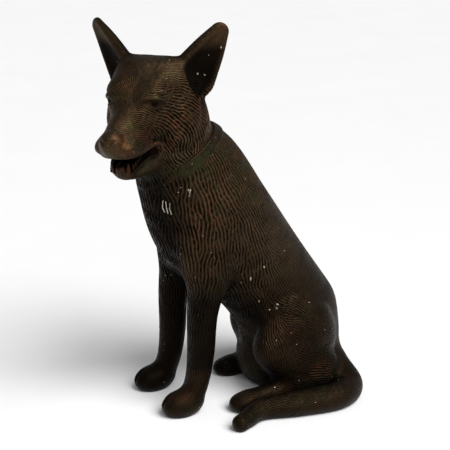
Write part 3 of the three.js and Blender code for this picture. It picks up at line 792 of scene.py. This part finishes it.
def inner_point(field, ring, points):
    """A point well inside the bronze from which a fan to the ring stays under the surface."""
    rng = np.random.default_rng(11)
    lo, hi = points.min(0), points.max(0)
    tries = np.vstack([ring.mean(0), ring.mean(0) + rng.normal(size=(40, 3)) * 18, points.mean(0),
                       lo + (hi - lo) * rng.uniform(.15, .85, (30, 3))])
    some = ring[::max(1, len(ring) // 60)]
    steps = np.array([.08, .2, .4, .65])[:, None, None, None]
    probe = some + (tries[:, None, :] - some) * steps
    worst = evaluate(field, probe.reshape(-1, 3)).reshape(probe.shape[:3])
    return tries[np.clip(worst + 1, 0, 20).sum((0, 2)).argmin()]


def make(field, v, quads, n, owner, names, marks):
    """One mesh into its castings, which share their borders and the normals there, and are capped."""
    lo, hi = fit
    scale = (hi - lo) / (shape_hi - shape_lo)
    for index, (node, slot) in enumerate(names):
        mine = quads[owner == index]
        if not len(mine):
            raise RuntimeError("no faces for " + node)
        used, local = np.unique(mine, return_inverse=True)
        local = local.reshape(-1, 4)
        points, normals = v[used], n[used]
        attributes = {k: a[used] for k, a in marks.items()}
        edges = np.stack([local, np.roll(local, -1, 1)], -1).reshape(-1, 2)
        code, back = edges[:, 0] * len(used) + edges[:, 1], edges[:, 1] * len(used) + edges[:, 0]
        border = edges[~np.isin(code, back)]
        caps, follow = [], {}
        for a, b in border.tolist():
            follow.setdefault(a, []).append(b)
        rings, total = [], len(used)
        while follow:
            start = next(iter(follow))
            loop, here = [], start
            while True:
                loop.append(here)
                ends = follow[here]
                there = ends.pop()
                if not ends:
                    del follow[here]
                here = there
                if here == start or here not in follow:
                    break
            ring = points[loop] - normals[loop] * CAP_DEPTH
            rings.append(ring)
            ids = total + np.arange(len(loop))
            apex = total + len(loop)
            total += len(loop) + 1
            rings.append(inner_point(field, ring, points)[None])
            for i in range(len(loop)):
                j = (i + 1) % len(loop)
                caps += [(loop[j], loop[i], ids[i]), (loop[j], ids[i], ids[j]), (ids[j], ids[i], apex)]
        if rings:
            extra = np.vstack(rings)
            points = np.vstack([points, extra])
            normals = np.vstack([normals, np.tile([0, 0, 1.0], (len(extra), 1))])
            attributes = {k: np.concatenate([a, np.zeros(len(extra))]) for k, a in attributes.items()}
        mesh = bpy.data.meshes.new(node + "_cast")
        loops = np.concatenate([local.ravel(), np.array(caps, int).reshape(-1)]).astype(np.int32)
        sizes = np.concatenate([np.full(len(local), 4), np.full(len(caps), 3)]).astype(np.int32)
        mesh.vertices.add(len(points))
        placed = (lo + (points - shape_lo) * scale) / 1000
        mesh.vertices.foreach_set("co", placed.astype(F32).ravel())
        mesh.loops.add(len(loops))
        mesh.loops.foreach_set("vertex_index", loops)
        mesh.polygons.add(len(sizes))
        mesh.polygons.foreach_set("loop_start", (np.cumsum(sizes) - sizes).astype(np.int32))
        mesh.polygons.foreach_set("use_smooth", np.ones(len(sizes), bool))
        mesh.update(calc_edges=True)
        mesh.normals_split_custom_set_from_vertices(normals.tolist())
        for k, a in attributes.items():
            mesh.attributes.new(k, "FLOAT", "POINT").data.foreach_set("value", a.astype(F32))
        piece = bpy.data.objects.new(node + "_cast", mesh)
        bpy.context.scene.collection.objects.link(piece)
        mesh.materials.append(MATERIALS[slot])
        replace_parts(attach(piece, "root"), node)


def beyond(p):
    return (p - COLLAR_AT) @ COLLAR_N


def band(p):
    """Distance from the middle line of the collar, which is open at the throat with round ends."""
    return np.hypot(beyond(p), np.maximum((p - COLLAR_AT) @ COLLAR_DOWN - COLLAR_END, 0)).astype(F32)


def body_field(p):
    s = beyond(p).astype(F32)
    sunk = .5 * np.clip((s + LAP) / 2, 0, 1)
    return np.maximum(form(p) + sunk, s - LAP)


def head_field(p):
    return np.maximum(form(p, True), (-beyond(p) - LAP).astype(F32))


def collar_field(p):
    """A smooth band that stands proud of the neck and reaches a little way into it."""
    d, s = form(p), band(p)
    outer = d - COLLAR_RISE * np.sqrt(np.clip(1 - (s / COLLAR_HALF) ** 4, 0, 1)) + .3
    return np.maximum(np.maximum(outer, s - COLLAR_HALF), -d - 6)


def coat(v):
    """1 where the coat is cut, fading out at the collar, throat, nose, lips, eyes and ears."""
    cover = np.clip((band(v) - COLLAR_HALF) / 4, 0, 1) * np.clip((np.abs(beyond(v)) - .5) / 4, 0, 1)
    q = on_head(v)
    m = mirrored(q)
    up = np.abs(q).max(1) < 200
    cover[up & (beyond(v) > 0)] *= np.clip((q[up & (beyond(v) > 0), 1] + 158) / 14, 0, 1)
    fades = [(tube(m, EYE["socket"], 3) - 1) / 5, tube(m, LIP, 5) / 5, tube(m, LOWER_LIP, 5) / 5,
             1 - np.clip((m[:, 2] - 52) / 16, 0, 1) * np.clip((m[:, 0] - 50) / 12, 0, 1) * .9]
    chin = np.clip((q[:, 2] + 86) / 10, 0, 1) + np.clip((q[:, 1] + 55) / 20, 0, 1)
    for fade in fades + [np.where(beyond(v) > 0, chin, 1)]:
        cover *= np.clip(fade, 0, 1)
    return cover


def on_skin(v, point, reach=20):
    """The vertex nearest to a point, if it is near at all."""
    gap = np.linalg.norm(v - np.array(point), axis=1)
    return v[gap.argmin()] if gap.min() < reach else np.array(point, float)


def paint_marks(v):
    """Above 1 in a stroke of paint, falling to 0 around it."""
    out = np.zeros(len(v))
    for start, end, width in PAINT:
        start, end = on_skin(v, start), on_skin(v, end)
        run = end - start + .01  # so that a dot has a length too
        t = np.clip((v - start) @ run / (run @ run), 0, 1)
        gap = np.linalg.norm(v - start - t[:, None] * run, axis=1)
        out = np.maximum(out, np.clip(1 - (gap - width) / 3, 0, 1.5))
    return out


def engraved(field, lo, hi, cell, first):
    """The mesh of a field with its coat cut in, and what the bronze needs to know at each vertex."""
    v, quads = skin(field, lo, hi, cell)
    v, quads = split_quads(v, quads)
    v = settle(field, v, quads)
    n = vertex_normals(v, quads)
    z, deep, space = grooves(v, n, first=first)
    deep = deep * np.clip((v[:, 2] - 2) / 8, 0, 1) * coat(v)
    # painted shade: darker where the surface is closed in, and in the ears, eyes and mouth
    occluded_shade = np.maximum(cavity(field, v, n), painted_hollow_shade(v))
    carved = deep * cut_profile(z) * np.clip((space / (cell / 2) - 2.2) / 2, .2, 1)
    v = v - n * carved[:, None]
    marks = dict(wave_x=z.real, wave_y=z.imag, depth=deep, occluded_shade=occluded_shade, paint=paint_marks(v),
                 painted_region_shade=painted_shade_by_place(v, n))
    return v, quads, vertex_normals(v, quads), marks


def within(c, side, x, y, z):
    """Which points lie in a box, given as ranges for the left side and mirrored to the right."""
    q = c * [side, 1, 1]
    return ((q > [x[0], y[0], z[0]]) & (q < [x[1], y[1], z[1]])).all(1)


def body_owner(c):
    """The place in BODY of the casting that each point belongs to."""
    owner = np.where((c - FLANK_AT) @ FLANK_N > 0, 1, 0)
    for i, side in enumerate((1, -1)):
        owner[within(c, side, (20, 200), (-260, -65), (-1, 212))] = 2 + i
        owner[within(c, side, (58, 150), (-50, 190), (54, 216))] = 4 + i
        owner[within(c, side, (30, 136), (-64.5, 150), (-1, 54))] = 6 + i
    tail = evaluate(lambda p: tube(p, TAIL, 6), c) < 1.5
    owner[tail & (c[:, 0] > 100)] = 8
    return owner


def head_owner(c):
    """The place in HEADS of the casting that each point belongs to."""
    q = on_head(c)
    owner = np.zeros(len(c), int)
    low = q[:, 2] < GAPE_HEIGHT + GAPE_DROP * (q[:, 1] - GAPE_BACK)
    owner[low & (q[:, 1] < -76) & (np.abs(q[:, 0]) < 47) & (q[:, 1] > -250)] = 1
    for i, side in enumerate((1, -1)):
        m = q * [side, 1, 1]
        away = (m - [72, 22, 44]) @ np.array([.45, .1, .89])
        owner[(away > 15) & (m[:, 0] > 40)] = 2 + i
    return owner


BODY = [(node, "body_bronze") for node in (
    "torso_front", "torso_rear", "foreleg_left", "foreleg_right", "haunch_left", "haunch_right",
    "hind_foot_left", "hind_foot_right", "tail")]
HEADS = [("head", "body_bronze"), ("lower_jaw", "mouth_bronze"), ("ear_left", "body_bronze"),
         ("ear_right", "body_bronze")]

bv = engraved(body_field, (-150, -260, -12), (215, 250, 640), CELL, lambda p: -p[:, 2])
hv = engraved(head_field, (-150, -360, 400), (200, 40, 790), HEAD_CELL, lambda p: on_head(p)[:, 1])
cv, cq = skin(collar_field, (-130, -260, 400), (130, 0, 640), HEAD_CELL)
cv, cq = split_quads(cv, cq)
cv = settle(collar_field, cv, cq)
cn = vertex_normals(cv, cq)
zero = np.zeros(len(cv))
# painted shade where the collar is closed in
occluded_shade = cavity(lambda p: np.minimum(form(p), collar_field(p)), cv, cn)

everything = np.vstack([bv[0], hv[0], cv])
shape_lo, shape_hi = everything.min(0), everything.max(0)
fit = (np.array(CAD_LO) * 1000 + [INSET, INSET, 0], np.array(CAD_HI) * 1000 - INSET)
for field, mesh, names, owner_of in ((body_field, bv, BODY, body_owner),
                                     (head_field, hv, HEADS, head_owner)):
    v, quads, n, marks = mesh
    make(field, v, quads, n, owner_of(v[quads].mean(1)), names, marks)
# the collar gets the same painted shade as the rest
plain = dict(wave_x=zero + 1, wave_y=zero, depth=zero, occluded_shade=occluded_shade, paint=paint_marks(cv),
             painted_region_shade=painted_shade_by_place(cv, cn))
make(collar_field, cv, cq, cn, np.zeros(len(cq), int), [("collar", "collar_bronze")], plain)

# ---------------------------------------------------------------- floor, light, camera
def stage_material():
    m = Nodes("pale_floor")
    m.place = m.add("ShaderNodeTexCoord").outputs["Object"]
    m.put(m.shader.inputs["Base Color"], m.mix(m.noise(3), (.86, .86, .86, 1), (.9, .9, .9, 1)))
    m.shader.inputs["Roughness"].default_value = .9
    return m.material


floor = bpy.data.meshes.new("floor")
floor.from_pydata([(-9, -9, 0), (9, -9, 0), (9, 9, 0), (-9, 9, 0)], [], [(0, 1, 2, 3)])
floor.materials.append(stage_material())
floor = bpy.data.objects.new("floor", floor)
bpy.context.scene.collection.objects.link(floor)

middle = (np.array(CAD_LO) + np.array(CAD_HI)) / 2
offset = (fit[0] - shape_lo) / 1000
look = np.array([0, 0, .370]) + [offset[0], offset[1], 0]
AZIMUTH, ELEVATION, DISTANCE = math.radians(64), math.radians(17), 2.2
FOCAL, SENSOR, SHIFT = 90, 36, (-.0287, -.0276)
back = np.array([math.sin(AZIMUTH) * math.cos(ELEVATION), -math.cos(AZIMUTH) * math.cos(ELEVATION),
                 math.sin(ELEVATION)])
lens = bpy.data.cameras.new("camera")
lens.lens, lens.sensor_width = FOCAL, SENSOR
lens.shift_x, lens.shift_y = SHIFT
lens.clip_start, lens.clip_end = .05, 60
camera = bpy.data.objects.new("camera", lens)
camera.location = look + back * DISTANCE
camera.rotation_mode = "QUATERNION"
camera.rotation_quaternion = Vector(-back).to_track_quat("-Z", "Y")
bpy.context.scene.collection.objects.link(camera)
bpy.context.scene.camera = camera


def softbox(name, azimuth, elevation, distance, size, power):
    a, e = math.radians(azimuth), math.radians(elevation)
    way = Vector((math.sin(a) * math.cos(e), -math.cos(a) * math.cos(e), math.sin(e)))
    light = bpy.data.lights.new(name, "AREA")
    light.shape, light.size, light.energy = "SQUARE", size, power
    lamp = bpy.data.objects.new(name, light)
    lamp.location = Vector(middle) + way * distance
    lamp.rotation_mode = "QUATERNION"
    lamp.rotation_quaternion = way.to_track_quat("Z", "Y")
    bpy.context.scene.collection.objects.link(lamp)


sun = bpy.data.lights.new("key", "SUN")
sun.energy, sun.angle = 3.3, math.radians(40)
lamp = bpy.data.objects.new("key", sun)
lamp.rotation_mode = "QUATERNION"
lamp.rotation_quaternion = Vector((.75, .30, 1.0)).to_track_quat("Z", "Y")
bpy.context.scene.collection.objects.link(lamp)
softbox("fill", 75, 40, 2.6, 1.6, 16)
world = bpy.data.worlds.new("studio")
world.use_nodes = True
world.node_tree.nodes["Background"].inputs[0].default_value = (1, 1, 1, 1)
world.node_tree.nodes["Background"].inputs[1].default_value = .27
bpy.context.scene.world = world
bpy.context.scene.view_settings.view_transform = "Standard"
